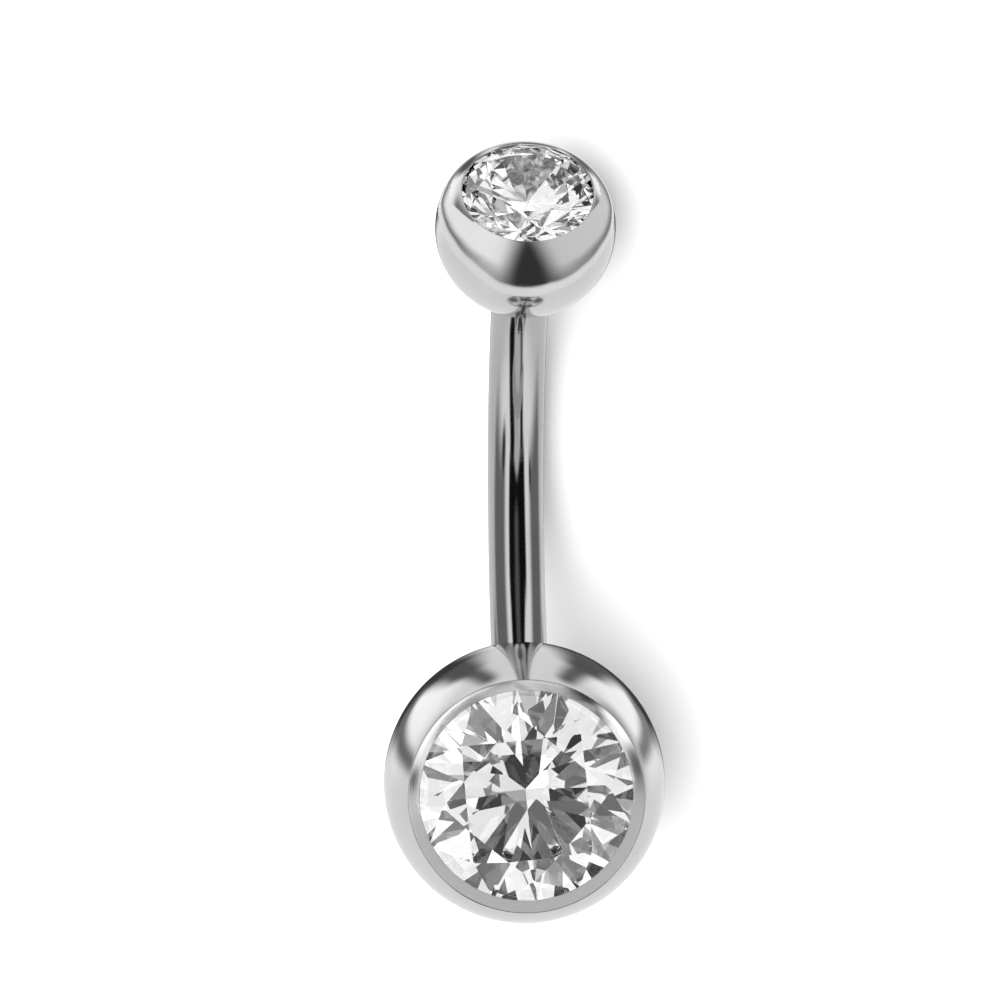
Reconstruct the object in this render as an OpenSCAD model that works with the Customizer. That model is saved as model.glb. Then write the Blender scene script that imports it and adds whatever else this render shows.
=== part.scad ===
// Curved navel barbell with a round brilliant set in each ball.
// It lies on its side on the plane z = 0 and touches it with both balls and the bar's bend.
// The large ball is at -X and the small one at +X; the stones look towards -Y and up.

/* [Bar] */
// Thickness of the bar
bar_d = 1.6; // [1.2:0.1:1.8]
// Radius of the bend, along the bar's centre line
bend_r = 10; // [9.5:0.5:12]
// Angle that the bend turns through
bend_sweep = 66.5; // [60:0.5:72]

/* [Bar ends] */
// Thickness of the fixed tenon and of the screw post, over its thread
post_d = 1.2; // [1:0.05:1.25]
// Length of the tenon in the large ball
tenon_length = 1.6; // [1.2:0.1:1.8]
// Length of the post in the small ball
post_length = 1.5; // [1.2:0.05:1.5]
// Chamfer on the end of the tenon and of the post
post_chamfer = 0.12; // [0.05:0.01:0.2]

/* [Large ball] */
// Diameter of the ball that is fixed to the bar
large_ball_d = 8; // [7.6:0.1:8.4]
// Diameter of the bevel round the stone, at its outer edge
large_rim_d = 6.65; // [6.6:0.05:6.9]
// Diameter of the stone that shows inside the bevel
large_lip_d = 5.98; // [5.9:0.01:6.04]
// Angle at which the bevel slopes in towards the stone
large_bevel_angle = 30; // [15:1:35]
// Angle between the bar's end and the direction that the stone faces
large_stone_angle = 113; // [108:1:116]
// Turn of the large ball on the end of the bar
large_ball_turn = -3; // [-5:0.5:5]

/* [Small ball] */
// Diameter of the ball that unscrews
small_ball_d = 5; // [4.9:0.05:5.2]
// Angle from the stone's axis at which the ball's shoulder begins
shoulder_angle = 70; // [68:1:72]
// Diameter of the crest round the stone
small_rim_d = 3.68; // [3.66:0.01:3.72]
// Diameter of the stone that shows inside the crest
small_lip_d = 3.6; // [3.56:0.01:3.64]
// Height of the crest over the ball's centre
small_rim_height = 1.48; // [1.44:0.01:1.5]

/* [Stones] */
// Diameter of the large stone
large_stone_d = 6.24; // [6.2:0.01:6.28]
// Diameter of the small stone
small_stone_d = 3.8; // [3.76:0.01:3.84]
// Width of the table across its corners, as a share of the stone's diameter
table_share = 0.59; // [0.55:0.01:0.65]
// Slope of the crown's main facets
crown_angle = 34.5; // [32:0.5:36]
// Slope of the pavilion's main facets
pavilion_angle = 41; // [39:0.5:41.5]
// Length of the star facets, as a share of the way from the table to the girdle
star_share = 0.47; // [0.4:0.01:0.6]
// Length of the lower girdle facets, as a share of the way from the girdle to the culet
lower_half_share = 0.77; // [0.7:0.01:0.85]
// Thickness of the girdle, as a share of the stone's diameter
girdle_share = 0.024; // [0.02:0.002:0.03]
// Turn of both stones about their own axes
stone_turn = 26.5; // [0:0.5:45]

/* [Fits] */
// Clearance round the tenon, the post and the stones
gap = 0.03; // [0.02:0.005:0.04]
// Depth of the recess in which each end of the bar sits
recess_depth = 0.12; // [0.08:0.01:0.15]

/* [Hidden] */
round_steps = 96;
cut_length = 2;
// Reach of the tenon's and the post's core into the bend
root_length = 0.3;
// Slope of the metal under the lip, steeper than any crown facet at the girdle
lip_under_angle = 43;
// Slope of the pocket under the girdle, steeper than the facets that it holds
pocket_angle = 44;
// Radius of the pocket's flat floor
pocket_floor_r = 0.3;

bar_r = bar_d / 2;
large_r = large_ball_d / 2;
small_r = small_ball_d / 2;
half_sweep = bend_sweep / 2;

// Bar frame: the bend's centre is the origin, the bend bulges towards +Y and lies in the XY plane
large_end_dir = [-cos(half_sweep), -sin(half_sweep), 0];
small_end_dir = [cos(half_sweep), -sin(half_sweep), 0];
large_end = bend_r * [-sin(half_sweep), cos(half_sweep), 0];
small_end = bend_r * [sin(half_sweep), cos(half_sweep), 0];
// Distance from each ball's centre to the bar's end, which sits in the ball's recess
large_seat = sqrt(large_r ^ 2 - bar_r ^ 2) - recess_depth + gap;
small_seat = sqrt(small_r ^ 2 - bar_r ^ 2) - recess_depth + gap;
large_centre = large_end + large_seat * large_end_dir;
small_centre = small_end + small_seat * small_end_dir;

// Large setting: height of the bevel's outer edge and of its lip over the ball's centre
large_rim_z = sqrt(large_r ^ 2 - (large_rim_d / 2) ^ 2);
large_lip_z = large_rim_z - (large_rim_d - large_lip_d) / 2 * tan(large_bevel_angle);

// Small setting: the shoulder is an arc that leaves the ball's surface without a corner
shoulder_dir = [sin(shoulder_angle), cos(shoulder_angle)];
small_crest = [small_rim_d / 2, small_rim_height];
shoulder_reach =
    (small_r ^ 2 - small_crest * small_crest) / (small_r - small_crest * shoulder_dir) / 2;
shoulder_r = small_r - shoulder_reach;
small_lip_z = small_rim_height - (small_rim_d - small_lip_d) / 2;

// Height of each girdle's upper edge: the crown just clears the metal lip
function girdle_top(lip_z, lip_d, stone_d) =
    lip_z - (stone_d - lip_d) / 2 * tan(lip_under_angle) - gap / cos(lip_under_angle);
large_girdle_z = girdle_top(large_lip_z, large_lip_d, large_stone_d);
small_girdle_z = girdle_top(small_lip_z, small_lip_d, small_stone_d);

// Resting pose: the line between the balls' centres turns level with X, dips towards the small
// ball, and the whole rolls about it until the bend meets the floor
centre_line = small_centre - large_centre;
line_turn = atan2(centre_line.y, centre_line.x);
dip_sin = (large_r - small_r) / norm(centre_line);
dip = asin(dip_sin);
start = turned_z(large_centre, -line_turn);
floor_reach = large_r - bar_r + start.x * dip_sin;
roll_a = bend_r ^ 2 - start.y ^ 2;
roll_b = floor_reach * start.y;
roll_c = bend_r ^ 2 * dip_sin ^ 2 - floor_reach ^ 2;
roll = asin((roll_b + sqrt(roll_b ^ 2 - roll_a * roll_c)) / roll_a / cos(dip));

function turned_x(v, a) = [v.x, v.y * cos(a) - v.z * sin(a), v.y * sin(a) + v.z * cos(a)];
function turned_y(v, a) = [v.x * cos(a) + v.z * sin(a), v.y, v.z * cos(a) - v.x * sin(a)];
function turned_z(v, a) = [v.x * cos(a) - v.y * sin(a), v.x * sin(a) + v.y * cos(a), v.z];
function turned_about(v, axis, a) =
    v * cos(a) + cross(axis, v) * sin(a) + axis * (axis * v) * (1 - cos(a));
function at_rest_dir(v) = turned_y(turned_x(turned_z(v, -line_turn), -roll), dip);
// Furthest reach of a circle round the axis in a direction at the given cosine to that axis
function ring_reach(ring_r, ring_z, cosine) = ring_z * cosine + ring_r * sqrt(1 - cosine ^ 2);

large_facing = turned_about(turned_z([1, 0, 0], half_sweep - large_stone_angle), -large_end_dir,
    large_ball_turn);
large_axis = at_rest_dir(large_facing);
small_axis = at_rest_dir(small_end_dir);
// Middle of the whole barbell in X and Y, measured from the large ball's centre
reach_x = norm(centre_line) * cos(dip) + ring_reach(small_crest.x, small_crest.y, small_axis.x);
reach_y = ring_reach(large_rim_d / 2, large_rim_z, -large_axis.y);
middle = [(reach_x - large_r) / 2, (large_r - reach_y) / 2];

// Puts what is drawn in the bar frame into the resting pose
module at_rest() {
    translate([-middle.x, -middle.y, large_r]) rotate([-roll, dip, 0]) rotate([0, 0, -line_turn])
        translate(-large_centre) children();
}

// Local frame of the large ball: the stone's axis is +Z, the bar leaves on the +Y side
module in_large_ball() {
    at_rest() translate(large_centre) rotate(a = large_ball_turn, v = -large_end_dir)
        rotate([0, 0, half_sweep - large_stone_angle]) rotate([0, 90, 0]) children();
}

// Local frame of the small ball: the stone's axis is +Z, in line with the end of the bar
module in_small_ball() {
    at_rest() translate(small_centre) rotate([0, 0, -half_sweep]) rotate([0, 90, 0]) children();
}

// Tenon or post along +Z from the end of the bar, with its core rooted in the bend
module bar_end(length) {
    translate([0, 0, -root_length])
        cylinder(d = post_d, h = root_length + length - post_chamfer, $fn = round_steps);
    translate([0, 0, length - post_chamfer])
        cylinder(d1 = post_d, d2 = post_d - 2 * post_chamfer, h = post_chamfer, $fn = round_steps);
}

module curved_bar() {
    color("darkgray") at_rest() {
        rotate([0, 0, 90 - half_sweep]) rotate_extrude(angle = bend_sweep, $fn = 4 * round_steps)
            translate([bend_r, 0]) circle(d = bar_d, $fn = round_steps);
        translate(large_end) rotate([0, 0, 180 + half_sweep]) rotate([0, 90, 0])
            bar_end(tenon_length);
        translate(small_end) rotate([0, 0, -half_sweep]) rotate([0, 90, 0])
            bar_end(post_length);
    }
}

// Space over and in a setting: outside the rim, down to the lip, and the pocket for the stone
module setting_space(rim, lip, stone_d, girdle_z) {
    seat_r = stone_d / 2 + gap;
    under_z = lip.y - (seat_r - lip.x) * tan(lip_under_angle);
    seat_z = girdle_z - girdle_share * stone_d - gap;
    floor_z = seat_z - (seat_r - pocket_floor_r) * tan(pocket_angle);
    far = rim.x + cut_length;
    rotate_extrude($fn = round_steps) polygon([
        [0, floor_z],
        [pocket_floor_r, floor_z],
        [seat_r, seat_z],
        [seat_r, under_z],
        lip,
        rim,
        [far, rim.y],
        [far, rim.y + cut_length],
        [0, rim.y + cut_length]
    ]);
}

// Bore for the tenon or post along +Z into the ball, with the recess for the bar at its mouth
module bar_bore(ball_r, seat, length) {
    translate([0, 0, seat - length])
        cylinder(d = post_d + 2 * gap, h = length + cut_length, $fn = round_steps);
    translate([0, 0, seat - gap])
        cylinder(d = bar_d + 2 * gap, h = ball_r, $fn = round_steps);
}

module large_ball() {
    color("silver") in_large_ball() difference() {
        sphere(r = large_r, $fn = round_steps);
        setting_space([large_rim_d / 2, large_rim_z], [large_lip_d / 2, large_lip_z],
            large_stone_d, large_girdle_z);
        rotate([-large_stone_angle, 0, 0]) bar_bore(large_r, large_seat, tenon_length + gap);
    }
}

// What the turned shoulder takes off the small ball, from its tangent line to the crest
module shoulder_waste() {
    away = small_r + cut_length;
    rotate_extrude($fn = round_steps) difference() {
        polygon([
            small_r * shoulder_dir,
            away * shoulder_dir,
            [away * shoulder_dir.x, away],
            [small_crest.x, away],
            small_crest
        ]);
        translate(shoulder_reach * shoulder_dir) circle(r = shoulder_r, $fn = 4 * round_steps);
    }
}

module small_ball() {
    color("silver") in_small_ball() difference() {
        sphere(r = small_r, $fn = round_steps);
        shoulder_waste();
        setting_space(small_crest, [small_lip_d / 2, small_lip_z], small_stone_d, small_girdle_z);
        rotate([180, 0, 0]) bar_bore(small_r, small_seat, post_length + gap);
    }
}

// Round brilliant of 57 facets and a 16-sided girdle; the girdle's upper edge is at z = 0
module brilliant(stone_d) {
    girdle_r = stone_d / 2;
    girdle_h = girdle_share * stone_d;
    table_r = table_share * girdle_r;
    star_r = table_r * cos(45 / 2) + star_share * (girdle_r - table_r * cos(45 / 2));
    half_r = (1 - lower_half_share) * girdle_r;
    // A point is on ring r at angle a; the main facets' planes give its height from its reach
    function on_ring(r, a, z) = [r * cos(a), r * sin(a), z];
    function crown_z(reach) = (girdle_r - reach) * tan(crown_angle);
    function pavilion_z(reach) = -girdle_h - (girdle_r - reach) * tan(pavilion_angle);
    eight = [0:7];
    points = concat(
        [for (k = eight) on_ring(table_r, 45 * k, crown_z(table_r))],
        [for (k = eight) on_ring(star_r, 45 * (k + 0.5), crown_z(star_r * cos(45 / 2)))],
        [for (k = [0:15]) on_ring(girdle_r, 22.5 * k, 0)],
        [for (k = [0:15]) on_ring(girdle_r, 22.5 * k, -girdle_h)],
        [for (k = eight) on_ring(half_r, 45 * (k + 0.5), pavilion_z(half_r * cos(45 / 2)))],
        [[0, 0, pavilion_z(0)]]
    );
    function table_at(k) = k % 8;
    function star_at(k) = 8 + (k + 8) % 8;
    function upper_at(j) = 16 + j % 16;
    function lower_at(j) = 32 + j % 16;
    function half_at(k) = 48 + (k + 8) % 8;
    culet = 56;
    faces = concat(
        [[for (k = eight) table_at(7 - k)]],
        [for (k = eight) [table_at(k), table_at(k + 1), star_at(k)]],
        [for (k = eight) [table_at(k), star_at(k), upper_at(2 * k), star_at(k - 1)]],
        [for (k = eight) [star_at(k), upper_at(2 * k + 1), upper_at(2 * k)]],
        [for (k = eight) [star_at(k), upper_at(2 * k + 2), upper_at(2 * k + 1)]],
        [for (j = [0:15]) [upper_at(j), upper_at(j + 1), lower_at(j + 1), lower_at(j)]],
        [for (k = eight) [half_at(k), lower_at(2 * k), lower_at(2 * k + 1)]],
        [for (k = eight) [half_at(k), lower_at(2 * k + 1), lower_at(2 * k + 2)]],
        [for (k = eight) [culet, half_at(k - 1), lower_at(2 * k), half_at(k)]]
    );
    polyhedron(points, faces);
}

module large_stone() {
    color("white") in_large_ball() translate([0, 0, large_girdle_z]) rotate([0, 0, stone_turn])
        brilliant(large_stone_d);
}

module small_stone() {
    color("white") in_small_ball() translate([0, 0, small_girdle_z]) rotate([0, 0, stone_turn])
        brilliant(small_stone_d);
}

curved_bar();
large_ball();
large_stone();
small_ball();
small_stone();
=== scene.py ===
from math import asin, atan2, ceil, cos, pi, radians, sin, sqrt, tan

import bmesh
import bpy
from mathutils import Matrix, Vector


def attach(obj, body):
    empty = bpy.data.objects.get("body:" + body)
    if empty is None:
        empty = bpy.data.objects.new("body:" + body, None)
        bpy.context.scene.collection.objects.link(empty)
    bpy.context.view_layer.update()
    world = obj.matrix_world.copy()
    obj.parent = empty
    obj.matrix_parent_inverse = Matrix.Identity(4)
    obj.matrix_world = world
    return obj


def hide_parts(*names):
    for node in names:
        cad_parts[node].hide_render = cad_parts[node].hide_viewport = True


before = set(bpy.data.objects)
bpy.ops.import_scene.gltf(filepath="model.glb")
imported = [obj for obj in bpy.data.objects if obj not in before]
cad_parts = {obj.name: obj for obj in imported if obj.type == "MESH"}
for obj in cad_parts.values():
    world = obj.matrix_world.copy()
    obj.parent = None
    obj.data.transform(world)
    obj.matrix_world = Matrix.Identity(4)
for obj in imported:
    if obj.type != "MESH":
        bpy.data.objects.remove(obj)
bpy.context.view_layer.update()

print("frame loaded:", len(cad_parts), "nodes")

mm = 0.001
hair = 1e-8  # in metres; anything shorter counts as nothing
ringSteps = 256  # faces round each ball


# Small helpers

def linear(hexText):
    # sRGB hex to the linear colour that the shaders want, by the standard's own numbers
    channels = [int(hexText[i:i + 2], 16) / 255 for i in (1, 3, 5)]
    return tuple(c / 12.92 if c <= 0.04045 else ((c + 0.055) / 1.055) ** 2.4 for c in channels) + (1.0,)


def addNode(tree, kind, feeds=None, **settings):
    # one node with its settings; a feed is a node, a socket or a plain value
    node = tree.nodes.new(kind)
    for name, value in settings.items():
        setattr(node, name, value)
    for key, value in (feeds or {}).items():
        if isinstance(value, bpy.types.Node):
            value = next(socket for socket in value.outputs if socket.enabled)
        if isinstance(value, bpy.types.NodeSocket):
            tree.links.new(value, node.inputs[key])
        else:
            node.inputs[key].default_value = value
    return node


def turn(angle, axis):
    return Matrix.Rotation(angle, 4, axis)


def shift(vector):
    return Matrix.Translation(vector)


def addObject(name, data):
    obj = bpy.data.objects.new(name, data)
    bpy.context.scene.collection.objects.link(obj)
    return obj


def plainMesh(obj):
    # what an object's modifiers make of it
    graph = bpy.context.evaluated_depsgraph_get()
    return bpy.data.meshes.new_from_object(obj.evaluated_get(graph), preserve_all_data_layers=True,
                                           depsgraph=graph)


# Where everything lies: sizes as in the solids, and how fine the meshes are

bar = {
    "radius": 0.8 * mm,
    "bendRadius": 10 * mm,
    "bendSweep": radians(66.5),
    "postRadius": 0.6 * mm,
    "tenonLength": 1.6 * mm,
    "postLength": 1.5 * mm,
    "tipChamfer": 0.12 * mm,
    "recessDepth": 0.12 * mm,
    "gap": 0.03 * mm,  # between any two pieces
    "bendSteps": 240,
    "sides": 96,  # faces round the rod and its ends
    "weldWithin": 0.05 * mm,  # rings of the rod and its ends that lie this near are joined
    "sharpFrom": radians(40),  # edges that bend more are drawn sharp
}
largeSetting = {
    "ballRadius": 4 * mm,
    "rimRadius": 3.325 * mm,
    "lipRadius": 2.99 * mm,
    "bevelAngle": radians(30),
    "stoneRadius": 3.12 * mm,
    "stoneAngle": radians(113),  # between the stone's axis and the bar's end
    "ballTurn": radians(-3),  # round the bar's end
}
smallSetting = {
    "ballRadius": 2.5 * mm,
    "rimRadius": 1.84 * mm,
    "rimHeight": 1.48 * mm,
    "lipRadius": 1.8 * mm,
    "shoulderAngle": radians(70),
    "stoneRadius": 1.9 * mm,
}
pocket = {
    "underAngle": radians(43),  # of the lip's underside, over the stone's crown
    "sideAngle": radians(44),  # of the walls round its pavilion
    "floorRadius": 0.3 * mm,
    "girdleShare": 0.024,  # the girdle's thickness as a share of the stone's width
}

halfSweep = bar["bendSweep"] / 2
largeEndDir = Vector((-cos(halfSweep), -sin(halfSweep), 0))
smallEndDir = Vector((cos(halfSweep), -sin(halfSweep), 0))


def seatDistance(ballRadius):
    # from a ball's centre to the end of the bar in its recess
    return sqrt(ballRadius ** 2 - bar["radius"] ** 2) - bar["recessDepth"] + bar["gap"]


largeEnd = bar["bendRadius"] * Vector((-sin(halfSweep), cos(halfSweep), 0))
smallEnd = bar["bendRadius"] * Vector((sin(halfSweep), cos(halfSweep), 0))
largeCentre = largeEnd + seatDistance(largeSetting["ballRadius"]) * largeEndDir
smallCentre = smallEnd + seatDistance(smallSetting["ballRadius"]) * smallEndDir


def restingTurn():
    # turns the bar frame so that both balls and the bend touch the floor
    line = smallCentre - largeCentre
    lineTurn = atan2(line.y, line.x)
    dipSin = (largeSetting["ballRadius"] - smallSetting["ballRadius"]) / line.length
    dip = asin(dipSin)
    start = turn(-lineTurn, "Z") @ largeCentre
    reach = largeSetting["ballRadius"] - bar["radius"] + start.x * dipSin
    a = bar["bendRadius"] ** 2 - start.y ** 2
    b = reach * start.y
    c = (bar["bendRadius"] * dipSin) ** 2 - reach ** 2
    roll = asin((b + sqrt(b * b - a * c)) / a / cos(dip))
    return turn(dip, "Y") @ turn(-roll, "X") @ turn(-lineTurn, "Z")


largeAtRest = Vector((-7.13213, -0.01423, 4)) * mm  # the large ball's centre in the shared frame
restTurn = restingTurn()
barFrame = shift(largeAtRest) @ restTurn @ shift(-largeCentre)
# local frames of the balls: the stone's axis is +Z
largeFrame = (barFrame @ shift(largeCentre) @ turn(largeSetting["ballTurn"], -largeEndDir)
              @ turn(halfSweep - largeSetting["stoneAngle"], "Z") @ turn(radians(90), "Y"))
smallFrame = barFrame @ shift(smallCentre) @ turn(-halfSweep, "Z") @ turn(radians(90), "Y")


# Camera first

view = {
    "leanBack": radians(15.5),  # lean of the large ball's end of the bar, away from the viewer
    "side": radians(4.18),  # how far the camera stands to the left of the bend's plane
    "roll": radians(1.06),
    "distance": 150 * mm,
    "nearest": 10 * mm,
    "pictureSize": 1000,  # pixels each way
    "largeBallAt": Vector((524.3, 782.4)),  # in that picture
    "pixelsPerMm": 35.15,  # at the large ball's centre
    "sensorWidth": 36,  # in mm, as Blender has it
}


def placeCamera():
    # the picture's axes in the bar's frame, then turned with the bar to its place at rest
    upAngle = halfSweep - view["leanBack"]
    side, roll = view["side"], view["roll"]
    up = Vector((cos(upAngle), sin(upAngle), 0))
    back = Vector((sin(upAngle), -cos(upAngle), 0))
    right = up.cross(back)
    back, right = cos(side) * back - sin(side) * right, cos(side) * right + sin(side) * back
    right, up = cos(roll) * right - sin(roll) * up, cos(roll) * up + sin(roll) * right
    right, up, back = (restTurn.to_3x3() @ axis for axis in (right, up, back))
    pictureMiddle = Vector((0.5, 0.5)) * view["pictureSize"]
    offset = (view["largeBallAt"] - pictureMiddle) / view["pixelsPerMm"] * mm
    place = largeAtRest - offset.x * right + offset.y * up + view["distance"] * back
    data = bpy.data.cameras.new("camera")
    data.sensor_width = view["sensorWidth"]
    data.lens = view["pixelsPerMm"] * view["distance"] / mm / view["pictureSize"] * view["sensorWidth"]
    data.clip_start = view["nearest"]
    camera = addObject("camera", data)
    axes = Matrix((right, up, back)).transposed()
    camera.matrix_world = shift(place) @ axes.to_4x4()
    bpy.context.scene.camera = camera
    return right, up, back


viewRight, viewUp, viewBack = placeCamera()
print("camera placed")


# Materials

def newMaterial(name):
    material = bpy.data.materials.new(name)
    material.use_nodes = True
    tree = material.node_tree
    return material, tree, tree.nodes["Principled BSDF"]


buffing = {
    "smearSize": 1.6 * mm,
    "waveSize": 2.6 * mm,
    "lineDepth": 0.01 * mm,
    "waveDepth": 0.05 * mm,
    "glossSpread": 0.2,  # share by which the roughness goes up and down
    "noiseSpan": {"From Min": 0.3, "From Max": 0.7},  # noise seldom leaves it
}


def polishedTitanium(name, finish):
    # Surgical titanium, the balls turned, the bar drawn and bent, and all of it buffed to a mirror: a
    # neutral grey reflection, faint rings from lathe and buff, and a slow waviness that softens it.
    # the tints come from the finish: the bar's darker tint is painted shade, and the bevel's lighter tint
    # is painted light
    material, tree, shader = newMaterial(name)
    place = addNode(tree, "ShaderNodeTexCoord").outputs["Object"]
    along = addNode(tree, "ShaderNodeAttribute", attribute_name="alongProfile").outputs["Fac"]
    # real buffing lines are about 0.005 mm apart; they are drawn wider to show at all
    lines = addNode(tree, "ShaderNodeTexNoise", {
        "W": along, "Scale": 1 / finish["lineSpacing"], "Detail": 2.0, "Roughness": 0.6},
        noise_dimensions="1D")
    smears, waves = (
        addNode(tree, "ShaderNodeTexNoise", {"Vector": place, "Scale": 1 / buffing[size], "Detail": detail})
        for size, detail in (("smearSize", 3.0), ("waveSize", 0.0)))
    tint = addNode(tree, "ShaderNodeMapRange", {"Value": smears, **buffing["noiseSpan"]})
    shade = addNode(tree, "ShaderNodeMix", {
        0: tint, 6: linear(finish["darkTint"]), 7: linear(finish["paleTint"])}, data_type="RGBA")
    gloss = addNode(tree, "ShaderNodeMapRange", {
        "Value": lines, **buffing["noiseSpan"],
        "To Min": finish["roughness"] * (1 - buffing["glossSpread"]),
        "To Max": finish["roughness"] * (1 + buffing["glossSpread"])})
    lineBump = addNode(tree, "ShaderNodeBump", {
        "Height": lines, "Strength": finish["lineBump"], "Distance": buffing["lineDepth"]})
    waveBump = addNode(tree, "ShaderNodeBump", {
        "Height": waves, "Strength": finish["waviness"], "Distance": buffing["waveDepth"],
        "Normal": lineBump})
    if "satinGain" in finish:
        # the bevel is turned but not buffed, so it scatters more; it also gets a lighter tint than the same
        # titanium elsewhere, which is painted light
        satin = addNode(tree, "ShaderNodeAttribute", attribute_name="satin").outputs["Fac"]
        gloss = addNode(tree, "ShaderNodeMath", {0: satin, 1: finish["satinGain"], 2: gloss},
                        operation="MULTIPLY_ADD")
        shade = addNode(tree, "ShaderNodeMix", {
            0: satin, 6: shade.outputs[2], 7: linear(finish["bevelPaintedLightTint"])}, data_type="RGBA")
    shader.inputs["Metallic"].default_value = 1.0
    tree.links.new(shade.outputs[2], shader.inputs["Base Color"])
    tree.links.new(gloss.outputs[0], shader.inputs["Roughness"])
    tree.links.new(waveBump.outputs[0], shader.inputs["Normal"])
    return material


zirconia = {"colour": "#FDFDFE", "refraction": 2.16, "hazeSize": 0.8 * mm, "haze": 0.003}


def cutZirconia():
    # Clear cubic zirconia, facets polished on a tin lap: strong refraction, and the faintest
    # difference in polish from place to place.
    material, tree, shader = newMaterial("cubicZirconiaPolishedFacets")
    place = addNode(tree, "ShaderNodeTexCoord").outputs["Object"]
    haze = addNode(tree, "ShaderNodeTexNoise", {
        "Vector": place, "Scale": 1 / zirconia["hazeSize"], "Detail": 2.0})
    gloss = addNode(tree, "ShaderNodeMapRange", {
        "Value": haze, "From Min": 0.35, "From Max": 0.65, "To Min": 0.0, "To Max": zirconia["haze"]})
    tree.links.new(gloss.outputs[0], shader.inputs["Roughness"])
    shader.inputs["Base Color"].default_value = linear(zirconia["colour"])
    shader.inputs["IOR"].default_value = zirconia["refraction"]
    shader.inputs["Transmission Weight"].default_value = 1.0
    return material


# the same titanium as the balls, given a darker tint: painted shade that makes the bar show darker
barShadedFinish = {
    "darkTint": "#AFAFB0",
    "paleTint": "#B6B6B7",
    "lineSpacing": 0.08 * mm,
    "roughness": 0.09,
    "lineBump": 0.03,
    "waviness": 0.1,
}
ballFinish = {
    "darkTint": "#CDCDCE",
    "paleTint": "#D4D4D5",
    "lineSpacing": 0.06 * mm,
    "roughness": 0.1,
    "lineBump": 0.03,
    "waviness": 0.1,
    "satinGain": 0.06,  # roughness that the bevel has on top
    # a lighter tint of the same titanium for the bevel: painted light
    "bevelPaintedLightTint": "#EAEAEA",
}
barShadedMetal = polishedTitanium("titaniumDrawnBentPolishedShadedTint", barShadedFinish)
ballMetal = polishedTitanium("titaniumTurnedBuffed", ballFinish)
stoneGlass = cutZirconia()
print("materials made")


# Geometry Nodes: the bent rod, the screw thread and the cut stones

def newTree(name, inputs):
    tree = bpy.data.node_groups.new(name, "GeometryNodeTree")
    for label, kind in inputs:
        tree.interface.new_socket(name=label, in_out="INPUT", socket_type="NodeSocket" + kind)
    tree.interface.new_socket(name="Geometry", in_out="OUTPUT", socket_type="NodeSocketGeometry")
    return tree, addNode(tree, "NodeGroupInput").outputs


def closeTree(tree, geometry, material):
    real = addNode(tree, "GeometryNodeRealizeInstances", {"Geometry": geometry})
    dressed = addNode(tree, "GeometryNodeSetMaterial", {"Geometry": real, "Material": material})
    addNode(tree, "NodeGroupOutput", {"Geometry": dressed})


def growMesh(tree, name, values):
    # runs a tree once and hands back what it made as a plain mesh
    holder = addObject(name + "Holder", bpy.data.meshes.new(name + "Holder"))
    modifier = holder.modifiers.new("grow", "NODES")
    modifier.node_group = tree
    for item in tree.interface.items_tree:
        if item.in_out == "INPUT" and item.name in values:
            modifier[item.identifier] = values[item.name]
    mesh = plainMesh(holder)
    mesh.name = name
    bpy.data.objects.remove(holder)
    return mesh


def bentRodTree():
    tree, given = newTree("bentRod", [
        ("Bend Radius", "Float"), ("Sweep", "Float"), ("Rod Radius", "Float"), ("Material", "Material")])
    half = addNode(tree, "ShaderNodeMath", {0: given["Sweep"], 1: 0.5}, operation="MULTIPLY")
    start = addNode(tree, "ShaderNodeMath", {0: pi / 2, 1: half}, operation="SUBTRACT")
    arc = addNode(tree, "GeometryNodeCurveArc", {
        "Resolution": bar["bendSteps"], "Radius": given["Bend Radius"], "Start Angle": start,
        "Sweep Angle": given["Sweep"]})
    path = addNode(tree, "GeometryNodeSplineParameter").outputs["Length"]
    marked = addNode(tree, "GeometryNodeStoreNamedAttribute", {
        "Geometry": arc, "Name": "alongProfile", "Value": path}, data_type="FLOAT", domain="POINT")
    ring = addNode(tree, "GeometryNodeCurvePrimitiveCircle", {
        "Resolution": bar["sides"], "Radius": given["Rod Radius"]})
    rod = addNode(tree, "GeometryNodeCurveToMesh", {"Curve": marked, "Profile Curve": ring})
    closeTree(tree, rod, given["Material"])
    return tree


thread = {
    "pitch": 0.25 * mm,
    "depth": 0.09 * mm,
    "rowsPerTurn": 14,
    "grooveFloor": 0.85,  # the vee's point is flattened at this share of the depth
    "floorRounding": 0.2,
}


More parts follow.
